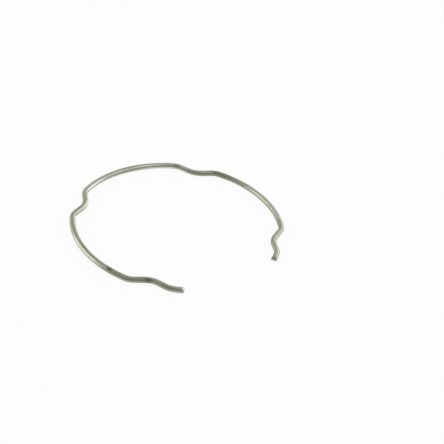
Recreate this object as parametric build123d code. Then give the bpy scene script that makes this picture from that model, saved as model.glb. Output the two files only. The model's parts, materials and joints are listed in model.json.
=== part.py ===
from build123d import *

import os
from math import asin, cos, degrees, radians, sin, sqrt

# A retaining clip for a quick-connect pipe coupling, bent from one length of round spring wire.
#
# The wire runs round in an open ring. Its round arcs rest in a groove outside the coupling, and
# its four detents dip inwards through windows in the coupling and catch behind a rim on the pipe.
# Past the last detents the two tails turn outwards and back, so that a tool can spread them.
#
# The ring lies in the XY plane with its axis on Z. The origin is the centre of the ring at half the
# wire's thickness, the mouth faces -Y, and the clip is the same on both sides of the YZ plane.
# Lengths are in millimetres and angles in degrees. Bend radii are those of the wire's centre line.

# --- Wire and ring ---
wire_diameter = 2.0
ring_inside_diameter = 69.6       # across the round arcs, where they rest in the groove

# --- Detents ---
detent_depth = 2.8                # how far the nose of a detent stands in from the ring
flank_slope = 20.0                # slope of a detent's straight flanks against the ring
nose_bend_radius = 7.2
shoulder_bend_radius = 4.5        # where a flank turns into the ring
back_detent_angle = 44.0          # from the middle of the back to each back detent
end_detent_angle = 48.0           # from the middle of the mouth to each end detent

# --- Tails, past the end detents ---
tail_flank_length = 2.4           # straight run that leads outwards from the nose
tail_bend_radius = 6.5
tail_bend_angle = 30.0            # turns the tail back to lie along the ring
tip_length = 3.0                  # last straight run, up to the middle of the cut

# --- Pinched ends ---
# Two blades come in from above and below, and the strip of wire left between them snaps square. So
# each end is a low roof with a narrow flat along its top.
cut_slope = 45.0                  # lean of each side of the roof, away from square
snapped_height = 0.4              # the flat between the two sides
cut_edge_radius = 0.1             # rounding of the flat and the rim

# --- Worked out from the sizes above ---
wire_radius = wire_diameter / 2
ring_radius = ring_inside_diameter / 2 + wire_radius
cut_allowance = wire_diameter     # wire that the blades cut away at each end


def flank_length():
    """Length of the straight run between a nose bend and a shoulder bend.

    The flank touches both bends, and the shoulder bend touches the ring from inside. So the
    shoulder's centre is ring_radius - shoulder_bend_radius from the ring's axis, and its distance
    written out along the flank is a quadratic whose positive root is the length.
    """
    nose_centre = ring_radius - detent_depth + nose_bend_radius
    shoulder_centre = ring_radius - shoulder_bend_radius
    bends = nose_bend_radius + shoulder_bend_radius
    slope = radians(flank_slope)
    half_b = nose_centre * sin(slope)
    c = nose_centre**2 + bends**2 - 2 * nose_centre * bends * cos(slope) - shoulder_centre**2
    return sqrt(half_b**2 - c) - half_b


def detent_half_angle():
    """Angle at the ring's axis between the middle of a detent and the end of its shoulder."""
    slope = radians(flank_slope)
    bends = nose_bend_radius + shoulder_bend_radius
    sideways = bends * sin(slope) + flank_length() * cos(slope)
    return degrees(asin(sideways / (ring_radius - shoulder_bend_radius)))


def run(length):
    """A straight stretch of wire, as a function that draws it from a point and a heading."""
    return lambda start, heading: Line(start, start + heading * length)


def bend(radius, turn):
    """A bend of the wire, drawn in the same way. A positive turn is to the left."""
    return lambda start, heading: JernArc(start, heading, radius, turn)


def right_half():
    """Stretches of the wire from the end of the back arc, clockwise round to the right tip."""
    shoulder = bend(shoulder_bend_radius, -flank_slope - detent_half_angle())
    flank = run(flank_length())
    nose = bend(nose_bend_radius, 2 * flank_slope)
    between_detents = 180 - back_detent_angle - end_detent_angle - 2 * detent_half_angle()
    side_arc = bend(ring_radius, -between_detents)
    back_detent = [shoulder, flank, nose, flank, shoulder]
    end_detent = [shoulder, flank, nose]
    tail_bend = bend(tail_bend_radius, -tail_bend_angle)
    tail = [run(tail_flank_length), tail_bend, run(tip_length + cut_allowance)]
    return back_detent + [side_arc] + end_detent + tail


def draw(stretches, start, heading):
    """Stretches of wire end to end, each one carrying on in the direction of the one before."""
    line = Curve()
    for stretch in stretches:
        edge = stretch(start, heading)
        line += edge
        start, heading = edge @ 1, edge % 1
    return line


def centre_line():
    """The back arc, with the right half and its mirror image leading on from its two ends."""
    reach = back_detent_angle - detent_half_angle()
    back_arc = CenterArc((0, 0), ring_radius, 90 - reach, 2 * reach)
    half = draw(right_half(), back_arc @ 0, back_arc % 0 * -1)
    return (back_arc + half + mirror(half, about=Plane.YZ)).wire()


def cutter(end, inwards, height, slope):
    """Block that cuts the wire off at an end, from that height upwards, or downwards if it leans so."""
    outwards = inwards * -cos(radians(slope)) + Vector(0, 0, sin(radians(slope)))
    face = Plane(origin=end + inwards * cut_allowance + Vector(0, 0, height), z_dir=outwards)
    side = 2 * (wire_diameter + cut_allowance)
    return face * Box(side, side, side, align=(Align.CENTER, Align.CENTER, Align.MIN))


def retaining_clip():
    """Round wire along the centre line, pinched off at both ends, with the cut edges rounded."""
    line = centre_line()
    section = Plane(origin=line @ 0, z_dir=line % 0) * Circle(wire_radius)
    wire = sweep(section, path=line)
    edge_height = snapped_height / 2
    for end, inwards in ((line @ 0, line % 0), (line @ 1, line % 1 * -1)):
        wire -= cutter(end, inwards, 0, 0)
        wire -= cutter(end, inwards, edge_height, cut_slope)
        wire -= cutter(end, inwards, -edge_height, -cut_slope)
    cut_faces = wire.faces().filter_by(GeomType.PLANE)
    return fillet(cut_faces.edges(), cut_edge_radius)


os.makedirs("parts", exist_ok=True)
export_step(retaining_clip(), "parts/retaining_clip.step")
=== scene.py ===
# %% [markdown]
# # A spring-wire retaining clip, bent from one piece of wire
#
# This file dresses one small machine part: a clip that locks a pipe into a quick coupling. It is a
# length of round spring wire bent into an open ring, with two short tails beside the open mouth. Four
# detents, which are dents that reach inwards, catch behind a rim on the pipe. A CAD program has already
# made the solid, and its packed copy is the frame that everything here is measured from. The real part
# has only one piece, so the lesson has only a few steps: the camera, the wire's path, its skin, its
# steel, and a plain bright studio.

# %% Load the frame
import json

import bpy
import numpy as np
from mathutils import Matrix, Vector


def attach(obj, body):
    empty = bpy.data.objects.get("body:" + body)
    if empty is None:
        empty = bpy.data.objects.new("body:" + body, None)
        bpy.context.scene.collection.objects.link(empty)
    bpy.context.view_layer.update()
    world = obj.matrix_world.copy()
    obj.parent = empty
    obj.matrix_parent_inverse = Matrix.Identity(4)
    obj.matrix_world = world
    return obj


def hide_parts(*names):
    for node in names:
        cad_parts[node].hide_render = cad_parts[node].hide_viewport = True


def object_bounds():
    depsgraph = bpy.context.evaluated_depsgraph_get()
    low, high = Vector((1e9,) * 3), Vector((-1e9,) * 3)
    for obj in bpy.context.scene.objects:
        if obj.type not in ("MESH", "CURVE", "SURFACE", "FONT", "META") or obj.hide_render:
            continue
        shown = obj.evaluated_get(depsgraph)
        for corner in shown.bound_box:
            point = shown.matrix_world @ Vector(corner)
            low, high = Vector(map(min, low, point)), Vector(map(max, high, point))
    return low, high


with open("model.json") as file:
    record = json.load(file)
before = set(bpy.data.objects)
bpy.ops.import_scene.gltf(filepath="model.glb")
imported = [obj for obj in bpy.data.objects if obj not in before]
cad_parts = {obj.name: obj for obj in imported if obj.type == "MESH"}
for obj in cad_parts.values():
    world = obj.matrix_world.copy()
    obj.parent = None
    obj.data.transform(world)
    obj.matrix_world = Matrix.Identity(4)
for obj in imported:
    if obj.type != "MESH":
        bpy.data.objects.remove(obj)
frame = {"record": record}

cad_low, cad_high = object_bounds()
mm = 0.001
print("clip, in mm:", [round((high - low) / mm, 2) for low, high in zip(cad_low, cad_high)])

# %% [markdown]
# ## The camera
#
# The clip lies flat and the camera looks down on it from a little more than a third of the way up from
# the horizon. A long lens from nearly half a metre away keeps the near and far sides of the ring nearly
# the same size, and the camera leans over by a few degrees, as a hand-held one does.

# %% Place the camera
view_azimuth = np.radians(39.48)     # the way it looks, clockwise from +Y
view_elevation = np.radians(35.46)   # how far it looks down
view_roll = np.radians(8.03)         # how far it leans over
view_distance = 456.9 * mm
aim = Vector((14.45 * mm, -5.55 * mm, 0.0))    # what lies in the middle of the picture
picture_width = 444                  # pixels
lens_in_pixels = 1330                # the focal length, in pixels of that picture

forward = Vector((
    np.sin(view_azimuth) * np.cos(view_elevation),
    np.cos(view_azimuth) * np.cos(view_elevation),
    -np.sin(view_elevation),
))
level_right = forward.cross(Vector((0, 0, 1))).normalized()
level_up = level_right.cross(forward)
right = level_right * np.cos(view_roll) + level_up * np.sin(view_roll)
up = level_up * np.cos(view_roll) - level_right * np.sin(view_roll)

camera_data = bpy.data.cameras.new("camera")
camera_data.sensor_width = 36.0      # mm
camera_data.lens = camera_data.sensor_width * lens_in_pixels / picture_width
camera_data.clip_start = 0.01        # metres
camera = bpy.data.objects.new("camera", camera_data)
turn = Matrix((right, up, -forward)).transposed().to_4x4()
camera.matrix_world = Matrix.Translation(aim - forward * view_distance) @ turn
bpy.context.scene.collection.objects.link(camera)
bpy.context.scene.camera = camera
print("lens, in mm:", round(camera_data.lens, 1))

# %% [markdown]
# ## The path of the wire
#
# A wire bender knows a wire form as a list of stretches: so far straight on, then round a pin of such
# a radius. The same list makes the path here. Each stretch has a length and a curvature (one over the
# bend's radius, positive to the left, zero where the wire is straight). The heading is the running sum
# of curvature times distance, and the place is the running sum of short steps along the heading.
#
# The wire's thickness is the height of the solid, and the ring's size and the depth of the detents are
# read from the frame's record.

# %% Sizes of the wire form
seats = {mount["name"]: mount["dims"]["r_mm"] * mm for mount in frame["record"]["mounts"]}
wire_radius = (cad_high.z - cad_low.z) / 2
ring_radius = seats["groove_seat"] + wire_radius
detent_depth = seats["groove_seat"] - seats["pipe_grip"]
flank_slope = np.radians(20.0)           # of a detent's straight flanks, against the ring
nose_bend_radius = 7.2 * mm
shoulder_bend_radius = 4.5 * mm          # where a flank turns into the ring
back_detent_angle = np.radians(44.0)     # from the middle of the back
end_detent_angle = np.radians(48.0)      # from the middle of the mouth
tail_flank_length = 2.4 * mm             # straight run outwards from the last detent
tail_bend_radius = 6.5 * mm
tail_bend_angle = np.radians(30.0)       # turns the tail back to lie along the ring
tip_length = 3.0 * mm                    # the last straight run
print("ring radius, in mm:", round(ring_radius / mm, 2), "depth of a detent:", round(detent_depth / mm, 2))

# %% Where a detent's bends meet
# A flank touches both of its bends, and the shoulder bend touches the ring from inside. That puts the
# shoulder's centre at a known distance from the ring's axis, which is a quadratic for the flank's
# length: its square, plus twice half_b times the length, plus the constant, is nought.
nose_centre = ring_radius - detent_depth + nose_bend_radius
shoulder_centre = ring_radius - shoulder_bend_radius
both_bends = nose_bend_radius + shoulder_bend_radius
half_b = nose_centre * np.sin(flank_slope)
constant = nose_centre**2 + both_bends**2 - shoulder_centre**2
constant -= 2 * nose_centre * both_bends * np.cos(flank_slope)
flank_length = np.sqrt(half_b**2 - constant) - half_b
sideways = both_bends * np.sin(flank_slope) + flank_length * np.cos(flank_slope)
detent_half_angle = np.arcsin(sideways / shoulder_centre)
print("flank of a detent, in mm:", round(flank_length / mm, 3))
print("half a detent, in degrees:", round(np.degrees(detent_half_angle), 2))


# %% The list of stretches
def run(length):
    """Straight on: (length, curvature)."""
    return (length, 0.0)


def bend(radius, angle):
    """Round a pin of that radius, to the left for a positive angle: (length, curvature)."""
    return (radius * abs(angle), np.sign(angle) / radius)


shoulder = bend(shoulder_bend_radius, -flank_slope - detent_half_angle)
flank = run(flank_length)
nose = bend(nose_bend_radius, 2 * flank_slope)
back_arc = bend(ring_radius, -2 * (back_detent_angle - detent_half_angle))
side_arc = bend(ring_radius, back_detent_angle + end_detent_angle + 2 * detent_half_angle - np.pi)
back_detent = [shoulder, flank, nose, flank, shoulder]
tail = [run(tail_flank_length), bend(tail_bend_radius, -tail_bend_angle), run(tip_length)]
half = back_detent + [side_arc, shoulder, flank, nose] + tail
stretches = np.array(half[::-1] + [back_arc] + half)
print("stretches:", len(stretches), "wire length, in mm:", round(stretches[:, 0].sum() / mm, 2))

# %% Walk along the stretches
row_step = 0.25 * mm    # longest step from one row of the skin to the next


def path(stretches, step):
    """Points, headings and distances along the wire.

    Each stretch is cut into equal steps. A step along an arc is a chord: its direction is the heading
    half way along, and its length is step * sin(h) / h, where h is half of the angle that it turns.
    """
    counts = np.maximum(2, np.ceil(stretches[:, 0] / step).astype(int))
    steps = np.repeat(stretches[:, 0] / counts, counts)
    curvature = np.repeat(stretches[:, 1], counts)
    turned = steps * curvature
    heading = np.concatenate([[0.0], np.cumsum(turned)])
    middle = heading[:-1] + turned / 2
    chord = steps * np.sinc(turned / 2 / np.pi)
    walk = np.cumsum(np.stack([chord * np.cos(middle), chord * np.sin(middle)], 1), 0)
    points = np.concatenate([[[0.0, 0.0]], walk])
    distance = np.concatenate([[0.0], np.cumsum(steps)])
    return points, heading, distance


points, heading, distance = path(stretches, row_step)
wire_length = distance[-1]
# The form is the same on both sides, so half way along the wire it crosses the YZ plane heading +X.
start_heading = -heading[-1] / 2
cosine, sine = np.cos(start_heading), np.sin(start_heading)
points = points @ np.array([[cosine, sine], [-sine, cosine]])
heading = heading + start_heading
back = np.array([np.interp(wire_length / 2, distance, points[:, axis]) for axis in (0, 1)])
points = points + np.array([0.0, ring_radius]) - back
print("points on the path:", len(points), "tips, in mm:", np.round(points[[0, -1]] / mm, 2).tolist())

# %% [markdown]
# ## The skin of the wire
#
# The skin is a grid of points. Its rows follow the wire and its columns go round it, so the whole form
# is one rule: from a point on the path, go out by the wire's radius at the column's angle. At an angle
# of zero that is straight out of the ring, and at a quarter turn it is straight up. A curve object with
# a bevel would give the same tube, but not its cut ends or the flats that the bending pins leave.
#
# The wire was pinched off between two blades. They lean each end back above and below into a low roof,
# and the last thin strip between them snaps square. So each end has rows of its own: a face from the
# middle out, and a quarter circle of a small radius that brings the face over into the side.

# %% Rows along the wire
rim_radius = 0.1 * mm       # of the quarter circle between a cut face and the side
face_rows, rim_rows = 14, 5
face_radius = np.linspace(0.0, wire_radius - rim_radius, face_rows)
rim_angle = np.linspace(0.0, np.pi / 2, rim_rows + 1)[1:]
end_distance = np.concatenate([0 * face_radius, rim_radius * (1 - np.cos(rim_angle))])
end_radius = np.concatenate([face_radius, wire_radius - rim_radius * (1 - np.sin(rim_angle))])
on_side = (distance > 2 * rim_radius) & (distance < wire_length - 2 * rim_radius)
row_distance = np.concatenate([end_distance, distance[on_side], wire_length - end_distance[::-1]])
row_radius = np.concatenate([end_radius, np.full(on_side.sum(), wire_radius), end_radius[::-1]])
row_centre = np.stack([np.interp(row_distance, distance, points[:, axis]) for axis in (0, 1)], 1)
row_heading = np.interp(row_distance, distance, heading)
print("rows:", len(row_distance), "of which at each end:", face_rows + rim_rows)

# %% [markdown]
# A bending pin presses on the side that ends up hollow. At the nose of a detent that is the outer side
# of the ring, and at its two shoulders the inner side. The hard wire keeps a shallow flat there, and no
# two flats are quite alike. Fixed seeds make them the same ones every time. One more flat is the bite
# of the jaw that held the wire while its first end was bent: it lies on top, a little past that bend.

# %% Where the tools pressed
stretch_end = np.cumsum(stretches[:, 0])
stretch_middle = stretch_end - stretches[:, 0] / 2
at_nose = np.isclose(stretches[:, 1], 1 / nose_bend_radius)
at_shoulder = np.isclose(stretches[:, 1], -1 / shoulder_bend_radius)
at_pin = at_nose | at_shoulder
pin_slide = 1.2 * mm             # how far on the pin slid as it bent the first nose
jaw_gap = 6.1 * mm               # from the end of the first shoulder to the jaw
jaw_side = np.radians(100.0)     # round the wire from straight out, so just past the top
nose_mark, shoulder_mark, jaw_mark = 1.1 * mm, 1.2 * mm, 1.0 * mm    # length of each kind
usual_depth = 0.05 * mm          # each flat is 0.5 to 1.2 times as deep as this
first_nose = stretch_middle[at_nose][0] + pin_slide
jaw = stretch_end[at_shoulder][0] + jaw_gap
mark_distance = np.concatenate([[first_nose], stretch_middle[at_pin][1:], [jaw]])
mark_side = np.append(np.where(at_nose, 0.0, np.pi)[at_pin], jaw_side)
mark_length = np.append(np.where(at_nose, nose_mark, shoulder_mark)[at_pin], jaw_mark)
mark_depth = usual_depth * np.random.default_rng(7).uniform(0.5, 1.2, len(mark_distance))
mark_darkness = np.random.default_rng(2).uniform(0.1, 0.4, len(mark_distance))
mark_darkness[[0, -1]] = 0.5, 0.6    # the first nose and the jaw, which were rubbed darkest
print("marks:", len(mark_distance), "deepest flat, in mm:", round(mark_depth.max() / mm, 3))

# %% The cut ends
cut_slope = np.radians(45.0)     # lean of each side of the roof, away from square
snapped_height = 0.4 * mm        # the square strip along the top of the roof
cut_rounding = 0.08 * mm         # of the two edges of that strip
cut_reach = 2.0 * mm             # the rows of the side bunch up over this length to meet the roof


def roof(height):
    """How far the cut lies back from the tip: tan(slope) times the height past the snapped strip.

    That height, h, is softened to half of (h + the root of (h squared + the rounding squared)).
    """
    past = np.abs(height) - snapped_height / 2
    return np.tan(cut_slope) * (past + np.sqrt(past**2 + cut_rounding**2)) / 2


print("the roof's eaves lie back by, in mm:", round(roof(wire_radius) / mm, 2))

# %% The surface
mark_reach = 1.5   # a mark is gone this many lengths from its middle, and full one length nearer
rub_edge = 0.1     # the rubbing starts where the skin faces the tool by this cosine
rub_fade = 0.6     # and is full this much higher
side_on = 0.2      # the least cosine in the formula of a flat, and no flat reaches so far round


def smooth(values):
    """0 below 0, 1 above 1, and in between three times the square less twice the cube."""
    values = np.clip(values, 0.0, 1.0)
    return values * values * (3 - 2 * values)


def wire_surface(angle):
    """Every point of the skin, its place on the wire, and how hard a tool rubbed it there.

    Point = path + outward * radius * cos(angle) + up * radius * sin(angle) + inwards * setback. On a
    flat the radius is at most (wire radius - depth) / cos(angle away from the tool), and the depth dies
    away along the wire. The rubbing spreads wider than the flat, because the wire rolls as it bends.
    The setback is the roof's, and it dies away from the tip too.
    """
    radius = np.repeat(row_radius[:, None], len(angle), 1)
    rubbed = np.zeros_like(radius)
    marks = zip(mark_distance, mark_side, mark_length, mark_depth, mark_darkness)
    for at, side, length, depth, darkness in marks:
        fade = smooth(mark_reach - np.abs(row_distance - at) / length)[:, None]
        facing = np.cos(angle - side)
        limit = (wire_radius - depth * fade) / np.maximum(facing, side_on)
        rubbed = np.maximum(rubbed, darkness * fade * smooth((facing - rub_edge) / rub_fade))
        radius = np.where(fade > 0, np.minimum(radius, limit), radius)
    out, height = radius * np.cos(angle), radius * np.sin(angle)

    from_end = np.minimum(row_distance, wire_length - row_distance)[:, None]
    inwards = np.where(row_distance < wire_length / 2, 1.0, -1.0)[:, None]
    setback = inwards * roof(height) * smooth(1 - from_end / cut_reach)

    tangent = np.stack([np.cos(row_heading), np.sin(row_heading)], 1)[:, None, :]
    outward = np.stack([-np.sin(row_heading), np.cos(row_heading)], 1)[:, None, :]
    in_plane = row_centre[:, None, :] + outward * out[:, :, None] + tangent * setback[:, :, None]
    place = np.stack([row_distance[:, None] + setback, out, height], 2)
    return np.concatenate([in_plane, height[:, :, None]], 2), place, rubbed


columns = 64       # round the wire
skin, place, rubbed = wire_surface(np.linspace(0, 2 * np.pi, columns, endpoint=False))
print("rows and columns:", skin.shape[:2], "highest point, in mm:", round(skin[..., 2].max() / mm, 3))

# %% [markdown]
# The first and last rows have no radius, so each is a single point where a fan of triangles closes the
# face. Everything between is quads, and the last column joins the first.
#
# The skin carries what its steel needs. The first is its place on the wire in millimetres: how far
# along, how far out and how high, which has no seam anywhere. The second is how hard a tool rubbed it.
# The third is a UV map whose U runs along the wire, which tells the gloss which way the steel was drawn.


# %% The mesh
def closed_grid(rows, columns):
    """Corner numbers of the quads between rows 1 to rows - 2, and of the two fans, facing outwards."""
    row, column = np.meshgrid(np.arange(rows - 3), np.arange(columns), indexing="ij")
    after = (column + 1) % columns
    here, there = 1 + row * columns, 1 + (row + 1) * columns
    quads = np.stack([here + column, here + after, there + after, there + column], 2).reshape(-1, 4)
    ring = np.arange(columns)
    last = (rows - 2) * columns + 1
    first_fan = np.stack([0 * ring, 1 + (ring + 1) % columns, 1 + ring], 1)
    last_ring = last - columns
    last_fan = np.stack([0 * ring + last, last_ring + ring, last_ring + (ring + 1) % columns], 1)
    return quads, first_fan, last_fan


def without_poles(grid):
    """A grid's points as one list, its first and last rows cut down to one point each."""
    rows = grid.reshape(len(grid), columns, -1)
    return np.concatenate([rows[0, :1], rows[1:-1].reshape(-1, rows.shape[2]), rows[-1, :1]])


quads, first_fan, last_fan = closed_grid(len(skin), columns)
faces = quads.tolist() + first_fan.tolist() + last_fan.tolist()
mesh = bpy.data.meshes.new("spring_wire")
mesh.from_pydata(without_poles(skin).tolist(), [], faces)
mesh.shade_smooth()
print("points:", len(mesh.vertices), "faces:", len(faces))

# %% What the skin carries
wire_place = mesh.attributes.new("wire_place", "FLOAT_VECTOR", "POINT")
wire_place.data.foreach_set("vector", (without_poles(place) / mm).ravel())
tool_mark = mesh.attributes.new("tool_mark", "FLOAT", "POINT")
tool_mark.data.foreach_set("value", without_poles(rubbed).ravel())

# U is the share of the wire's length and V the share of the way round it. A fan lies square across the
# wire, so its corners share one U.
row, column = np.meshgrid(np.arange(1, len(skin) - 2), np.arange(columns), indexing="ij")
here, there = row_distance[row] / wire_length, row_distance[row + 1] / wire_length
u = np.stack([here, here, there, there], 2)
v = np.stack([column, column + 1, column + 1, column], 2) / columns
quad_uv = np.stack([u, v], 3).reshape(-1, 2)
fan_uv = np.tile([[0.0, 0.5], [0.0, 1.0], [0.0, 0.0]], (columns, 1))
along = mesh.uv_layers.new(name="along")
along.uv.foreach_set("vector", np.concatenate([quad_uv, fan_uv, fan_uv + [1.0, 0.0]]).ravel())
print("corners in the map:", len(along.uv), "darkest rub:", round(rubbed.max(), 2))

# %% Which faces are cut steel
# Both fans are, and so is a quad if both of its rows are near an end.
rim_in_cut = 0.4    # the cut takes in the rim as far back as this share of its radius
near_end = np.minimum(row_distance, wire_length - row_distance) < rim_in_cut * rim_radius
is_cut = near_end[1:-2] & near_end[2:-1]
slots = np.concatenate([np.repeat(is_cut, columns), np.ones(2 * columns, bool)]).astype(np.int32)
mesh.polygons.foreach_set("material_index", slots)
mesh.validate()
wire = bpy.data.objects.new("spring_wire", mesh)
bpy.context.scene.collection.objects.link(wire)
print("faces of cut steel:", int(slots.sum()))

# %% [markdown]
# ## Colours and nodes
#
# Colours are written as the hex values that a screen shows, and a shader wants linear light, so one
# function turns the first into the second. Another adds a node, sets its switches and fills or links
# its sockets, which keeps the recipe for a material as short as its list of steps. The third clears a
# new material, so that each recipe starts from nothing.


# %% Three helpers
def linear(hex_colour):
    """An sRGB hex colour as linear red, green, blue and full alpha, by the sRGB curve."""
    value = np.array([int(hex_colour[i : i + 2], 16) for i in (1, 3, 5)]) / 255
    curved = np.where(value <= 0.04045, value / 12.92, ((value + 0.055) / 1.055) ** 2.4)
    return (*curved.tolist(), 1.0)


def add(tree, kind, inputs, **switches):
    """Add a node with its settings. An input is a socket's value, or another node's output to link."""
    node = tree.nodes.new("ShaderNode" + kind)
    for name, value in switches.items():
        setattr(node, name, value)
    for name, value in inputs.items():
        if isinstance(value, bpy.types.NodeSocket):
            tree.links.new(value, node.inputs[name])
        else:
            node.inputs[name].default_value = value
    return node


def empty_material(name):
    """A new material with no nodes in it yet, and its node tree."""
    material = bpy.data.materials.new(name)
    material.use_nodes = True
    material.node_tree.nodes.clear()
    return material, material.node_tree


print("white as linear light:", linear("#ffffff"))

# %% [markdown]
# ## Drawn spring steel
#
# Spring wire is drawn cold through one die after another. Each die scores it lengthwise, and the soap
# that carried it through stays as a thin, dull, olive-grey film, thicker in some places than others.
# To the eye that is a metal with soft, smeared highlights. The score lines spread light round the wire
# and not along it, so the gloss is anisotropic. Where a bending pin slid, the film is scuffed dark and
# broken by flecks of bare steel.
#
# Real die lines are about 0.02 mm apart, too fine to see from here, so they are drawn 0.6 mm apart.

# %% Drawn steel: where the patterns go
drawn_steel, tree = empty_material("soap_drawn_spring_steel")
where = add(tree, "Attribute", {}, attribute_name="wire_place").outputs["Vector"]
mark = add(tree, "Attribute", {}, attribute_name="tool_mark").outputs["Fac"]


def pattern(length, width, seed):
    """Patches of that length and width, in mm: noise at the place divided by them, plus the seed."""
    scaled = add(tree, "Mapping", {"Vector": where, "Scale": (1 / length, 1 / width, 1 / width),
                                   "Location": (seed, seed, seed)})
    return add(tree, "TexNoise", {"Vector": scaled.outputs[0], "Scale": 1.0, "Detail": 1.0,
                                  "Roughness": 0.55}).outputs["Fac"]


soap_film = pattern(length=35.0, width=6.0, seed=44.0)
patches = pattern(length=6.0, width=2.0, seed=11.0)
die_lines = pattern(length=60.0, width=0.6, seed=71.0)
scuffs = pattern(length=1.2, width=0.4, seed=24.0)
print("nodes so far:", len(tree.nodes))

# %% Drawn steel: its colour
# Noise stays near a half, and each MapRange says from which value on a pattern shows, and where it is
# full. The sockets are numbers, because a colour Mix node has three that are called A: 0 is the factor,
# 6 and 7 are the two colours, and output 2 is the colour.
thin_film, thick_film = linear("#cbcdc3"), linear("#969a7e")
scored, scuffed, bare = linear("#84866d"), linear("#4a4c3a"), linear("#d6d8d0")
patchy = add(tree, "Math", {0: patches, 1: 0.25, 2: soap_film}, operation="MULTIPLY_ADD").outputs[0]
film_amount = add(tree, "MapRange", {"Value": patchy, "From Min": 0.52, "From Max": 0.78}).outputs[0]
film = add(tree, "Mix", {0: film_amount, 6: thin_film, 7: thick_film}, data_type="RGBA").outputs[2]
line_amount = add(tree, "MapRange", {"Value": die_lines, "From Min": 0.46, "From Max": 0.58,
                                     "To Max": 0.6}).outputs[0]
lined = add(tree, "Mix", {0: line_amount, 6: film, 7: scored}, data_type="RGBA").outputs[2]
marked = add(tree, "Mix", {0: mark, 6: lined, 7: scuffed}, data_type="RGBA").outputs[2]
fleck_amount = add(tree, "MapRange", {"Value": scuffs, "From Min": 0.66, "From Max": 0.74}).outputs[0]
flecks = add(tree, "Math", {0: fleck_amount, 1: mark}, operation="MULTIPLY").outputs[0]
colour = add(tree, "Mix", {0: flecks, 6: marked, 7: bare}, data_type="RGBA").outputs[2]
print("film, thin to thick:", np.round(thin_film[:3], 2).tolist(), np.round(thick_film[:3], 2).tolist())

# %% Drawn steel: its gloss and relief
line_depth = 0.02 * mm
roughness = add(tree, "MapRange", {"Value": film_amount, "To Min": 0.31, "To Max": 0.42}).outputs[0]
relief = add(tree, "Bump", {"Height": die_lines, "Strength": 0.1, "Distance": line_depth}).outputs[0]
round_the_wire = add(tree, "Tangent", {}, direction_type="UV_MAP", uv_map="along").outputs[0]
steel = add(tree, "BsdfPrincipled", {
    "Base Color": colour, "Metallic": 1.0, "Roughness": roughness, "Normal": relief,
    "Anisotropic": 0.6, "Anisotropic Rotation": 0.25, "Tangent": round_the_wire,
})
add(tree, "OutputMaterial", {"Surface": steel.outputs[0]})
mesh.materials.append(drawn_steel)
print("nodes in the drawn steel:", len(tree.nodes))

# %% [markdown]
# ## Cut steel
#
# The cut ends have no film. The blades slide down the two sides of the roof and leave them smooth, with
# fine scores that run up and down, and the strip that snaps between them is grainy and bright. The
# grain of snapped spring steel is about 0.03 mm, drawn here at 0.12 mm so that it shows.

# %% Cut steel: the strip that snapped and the sides that slid
cut_steel, tree = empty_material("pinch_cut_spring_steel")
where = add(tree, "Attribute", {}, attribute_name="wire_place").outputs["Vector"]
height = add(tree, "SeparateXYZ", {"Vector": where}).outputs["Z"]
off_middle = add(tree, "Math", {0: height}, operation="ABSOLUTE").outputs[0]
grain_size = 0.12      # mm
score_length = 2.0     # mm, as long as the cut is tall
ragged_by = 0.2        # mm, how far the grain moves the edge of the strip up and down
edge_blur = 0.04       # mm
grain = add(tree, "TexNoise", {"Vector": where, "Scale": 1 / grain_size, "Detail": 2.0}).outputs["Fac"]
upright_scale = (1 / score_length, 1 / grain_size, 1 / score_length)    # fine from side to side
upright = add(tree, "Mapping", {"Vector": where, "Scale": upright_scale}).outputs[0]
scores = add(tree, "TexNoise", {"Vector": upright, "Scale": 1.0, "Detail": 2.0}).outputs["Fac"]
strip_edge = snapped_height / 2 / mm + ragged_by / 2    # the grain is a half on average
ragged = add(tree, "Math", {0: grain, 1: ragged_by, 2: off_middle}, operation="MULTIPLY_ADD").outputs[0]
slid = add(tree, "MapRange", {"Value": ragged, "From Min": strip_edge - edge_blur,
                              "From Max": strip_edge + edge_blur}).outputs[0]
print("edge of the strip, in mm from the middle:", round(strip_edge - ragged_by / 2, 2))

# %% Cut steel: its colour, gloss and relief
# A Mix node for plain values takes them at sockets 2 and 3.
grain_depth = 0.03 * mm
snapped_colour, slid_colour = linear("#c4c6bb"), linear("#b2b4a6")
colour = add(tree, "Mix", {0: slid, 6: snapped_colour, 7: slid_colour}, data_type="RGBA").outputs[2]
roughness = add(tree, "MapRange", {"Value": slid, "To Min": 0.55, "To Max": 0.38}).outputs[0]
grain_or_scores = add(tree, "Mix", {0: slid, 2: grain, 3: scores}, data_type="FLOAT").outputs[0]
relief = add(tree, "Bump", {"Height": grain_or_scores, "Strength": 0.6,
                            "Distance": grain_depth}).outputs[0]
steel = add(tree, "BsdfPrincipled", {
    "Base Color": colour, "Metallic": 1.0, "Roughness": roughness, "Normal": relief,
})
add(tree, "OutputMaterial", {"Surface": steel.outputs[0]})
mesh.materials.append(cut_steel)
print("nodes in the cut steel:", len(tree.nodes))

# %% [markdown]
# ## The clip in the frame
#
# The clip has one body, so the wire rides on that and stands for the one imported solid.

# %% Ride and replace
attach(wire, "root")
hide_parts("retaining_clip")
print("pieces:", [wire.name])

# %% [markdown]
# ## The floor
#
# A small part is shown on white seamless paper. Lit plainly, white paper renders a little below white,
# so most of what the camera sees is a plain white from the Emission shader. It is mixed in for camera
# rays, and for the rays of mirrored or clear things, so that the steel shows the same white. The rest
# is real paper, and that keeps the soft shadow under the wire.

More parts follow.
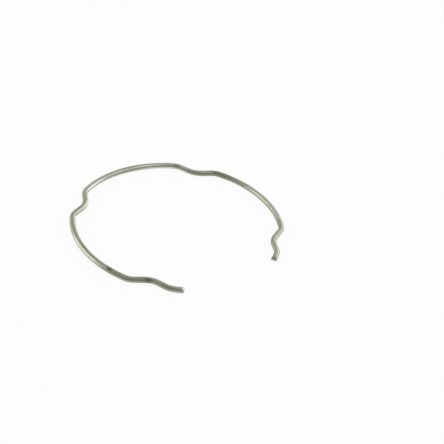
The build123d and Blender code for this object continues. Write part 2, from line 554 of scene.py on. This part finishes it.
# %% White paper
white_paper, tree = empty_material("white_seamless_paper")
ray = add(tree, "LightPath", {}).outputs
seen = ray["Is Camera Ray"]
for kind in ("Is Glossy Ray", "Is Transmission Ray"):
    seen = add(tree, "Math", {0: seen, 1: ray[kind]}, operation="MAXIMUM").outputs[0]
plain_white = 0.92    # the rest, 0.08, is real paper
share = add(tree, "Math", {0: seen, 1: plain_white}, operation="MULTIPLY").outputs[0]
paper = add(tree, "BsdfDiffuse", {"Color": linear("#f6f6f4")}).outputs[0]
white = add(tree, "Emission", {"Color": linear("#ffffff"), "Strength": 1.0}).outputs[0]
surface = add(tree, "MixShader", {0: share, 1: paper, 2: white}).outputs[0]
add(tree, "OutputMaterial", {"Surface": surface})
print("share of plain white:", plain_white)

# %% The floor
half_side = 3.0    # metres, so that its edge is far outside the view
around = [(-1, -1), (1, -1), (1, 1), (-1, 1)]
corners = [(half_side * x, half_side * y, cad_low.z) for x, y in around]
floor_mesh = bpy.data.meshes.new("floor")
floor_mesh.from_pydata(corners, [], [(0, 1, 2, 3)])
floor_mesh.materials.append(white_paper)
floor = bpy.data.objects.new("floor", floor_mesh)
bpy.context.scene.collection.objects.link(floor)
print("floor at, in mm:", round(cad_low.z / mm, 2))

# %% [markdown]
# ## The light
#
# Round metal shows nothing but its surroundings, so the light is a set of large round soft boxes: low
# ones on the left, on the right and beyond the clip, and one high up on the right. The low ones draw
# the long pale bands along the wire. The room's walls are pale beyond the clip and dim behind the
# camera, which leaves the near side of the ring darker. A box's brightness is its radiance, where 1
# looks white: its power in watts is that times pi and its area.

# %% The room
room = bpy.data.worlds.new("pale_room")
bpy.context.scene.world = room
room.use_nodes = True
tree = room.node_tree
wall_behind, wall_beyond = 0.26, 0.88    # radiance, where 1 looks white
level_view = (np.sin(view_azimuth), np.cos(view_azimuth), 0.0)
direction = add(tree, "TexCoord", {}).outputs["Generated"]
ahead = add(tree, "VectorMath", {0: direction, 1: level_view}, operation="DOT_PRODUCT").outputs["Value"]
# Ahead is -1 for the wall behind the camera and 1 for the wall beyond the clip.
walls = add(tree, "MapRange", {"Value": ahead, "From Min": -1.0, "From Max": 1.0,
                               "To Min": wall_behind, "To Max": wall_beyond}).outputs[0]
background = tree.nodes["Background"]
background.inputs["Color"].default_value = linear("#ffffff")
tree.links.new(walls, background.inputs["Strength"])
print("walls, behind and beyond:", wall_behind, wall_beyond)

# %% Soft boxes
box_distance = 0.8    # metres
box_colour = linear("#f8f9ff")[:3]
# Each box: degrees round from the way the camera looks, degrees up, width in metres, brightness.
soft_boxes = {
    "left": (-86, 14, 0.62, 2.4),
    "back": (40, 6, 0.48, 1.5),
    "right": (65, 18, 0.48, 1.3),
    "right_high": (100, 58, 0.48, 2.2),
}
for name, (azimuth, elevation, width, brightness) in soft_boxes.items():
    lamp = bpy.data.lights.new(name, "AREA")
    lamp.shape = "DISK"
    lamp.size = width
    area = np.pi * (width / 2) ** 2
    lamp.energy = brightness * np.pi * area
    lamp.color = box_colour
    towards, rise = view_azimuth + np.radians(azimuth), np.radians(elevation)
    away = Vector((np.sin(towards) * np.cos(rise), np.cos(towards) * np.cos(rise), np.sin(rise)))
    soft_box = bpy.data.objects.new(name, lamp)
    soft_box.location = away * box_distance
    soft_box.rotation_euler = away.to_track_quat("Z", "Y").to_euler()
    soft_box.visible_camera = False
    bpy.context.scene.collection.objects.link(soft_box)
    print(name, "power in watts:", round(lamp.energy, 2))

# %% [markdown]
# ## Colours as written
#
# The Standard view shows a colour as it is written.

# %% The view
bpy.context.scene.view_settings.view_transform = "Standard"
